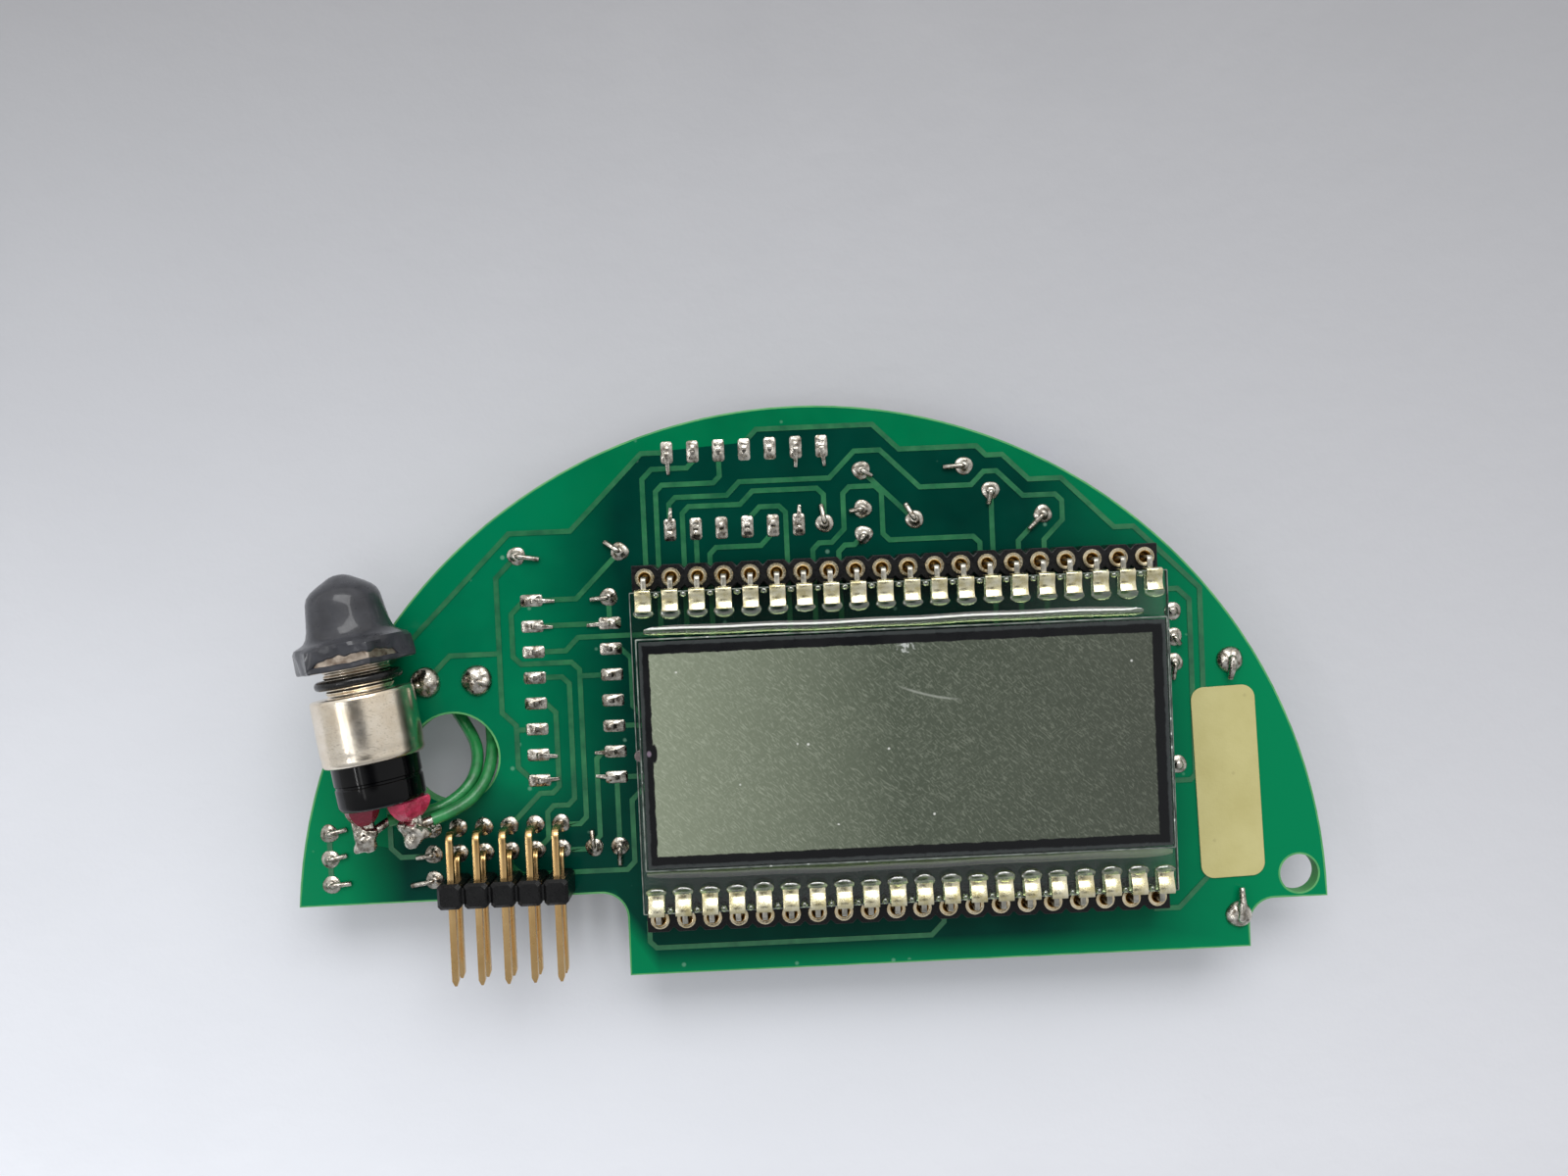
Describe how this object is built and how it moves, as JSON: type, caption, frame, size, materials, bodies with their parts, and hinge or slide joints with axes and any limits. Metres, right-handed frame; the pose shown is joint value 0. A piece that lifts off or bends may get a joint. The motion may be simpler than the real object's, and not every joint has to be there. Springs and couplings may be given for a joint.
{
  "type": "display circuit board",
  "caption": "Half-round control board with a plug-in liquid crystal display, a right-angle pin header and a sealed push switch on short green wires.",
  "frame": {"origin": "centre of the mounting hole, on the board's front face", "axes": "+Z out of the front face along the mounting hole, +Y from the straight edge towards the round edge, +X to the right as seen from the front"},
  "size_m": [0.1019, 0.0556, 0.0185],
  "materials": {
    "laminate": "dark green solder mask over glass-fibre laminate",
    "masked_copper": "copper tracks under the green solder mask",
    "solder": "bright tin-lead solder, lightly tarnished",
    "label": "blank cream label, slightly glossy",
    "cell_glass": "clear float glass",
    "cell_glue": "grey epoxy frame",
    "port_sealant": "pinkish clear sealant",
    "polariser": "grey-green film with fine scratches",
    "reflector": "matt foil",
    "clip_metal": "tinned spring metal",
    "black_nylon": "black moulded plastic",
    "gold_plate": "gold plate",
    "boot_rubber": "dark grey rubber, torn at its flange",
    "ring_rubber": "black rubber",
    "nickel": "nickel plate with fine scratches",
    "plunger": "plain moulded plastic",
    "switch_black": "glossy black moulding",
    "crimson_resin": "crimson sealing resin",
    "green_wire": "green insulation",
    "chip_body": "black epoxy",
    "tinned_leg": "tinned legs",
    "resistor": "tan lacquer",
    "ceramic": "ochre lacquer",
    "trimmer_case": "blue moulded case",
    "screw_brass": "brass",
    "capacitor_sleeve": "dark blue sleeve"
  },
  "bodies": {
    "board": {"circuit_board": "laminate", "copper_tracks": "masked_copper", "pad_solder_joints": "solder", "round_solder_joints": "solder", "wire_solder_domes": "solder", "blank_label": "label", "display_rear_glass": "cell_glass", "display_front_glass": "cell_glass", "cell_seal": "cell_glue", "fill_port_plug": "port_sealant", "front_polariser": "polariser", "rear_reflector": "reflector", "upper_display_pins": "clip_metal", "lower_display_pins": "clip_metal", "upper_socket_strip": "black_nylon", "lower_socket_strip": "black_nylon", "upper_socket_contacts": "gold_plate", "lower_socket_contacts": "gold_plate", "header_housing": "black_nylon", "upper_header_pins": "gold_plate", "lower_header_pins": "gold_plate", "switch_boot": "boot_rubber", "boot_nut": "nickel", "panel_o_ring": "ring_rubber", "switch_bushing": "nickel", "switch_can": "nickel", "switch_rear_body": "switch_black", "base_resin": "crimson_resin", "switch_terminals": "tinned_leg", "terminal_solder": "solder", "left_switch_wire": "green_wire", "right_switch_wire": "green_wire", "timing_circuit_body": "chip_body", "timing_circuit_legs": "tinned_leg", "logic_circuit_body": "chip_body", "logic_circuit_legs": "tinned_leg", "display_driver_body": "chip_body", "display_driver_legs": "tinned_leg", "axial_resistors": "resistor", "disc_capacitors": "ceramic", "three_lead_regulator": "chip_body", "trimmer_body": "trimmer_case", "trimmer_pins": "tinned_leg", "filter_capacitor": "capacitor_sleeve", "filter_capacitor_leads": "tinned_leg"},
    "button": {"switch_plunger": "plunger"},
    "adjuster": {"trimmer_screw": "screw_brass"}
  },
  "joints": [
    {"name": "button_press", "type": "slide", "parent": "board", "child": "button", "axis": [0.1461, -0.9893, 0], "range_m": [0, 0.0016], "stiffness_N_per_m": 1500, "springref_m": -0.001},
    {"name": "adjuster_turn", "type": "hinge", "parent": "board", "child": "adjuster", "pos_m": [-0.02099, 0.0381, -0.00485], "axis": [1, 0, 0], "continuous": true}
  ]
}
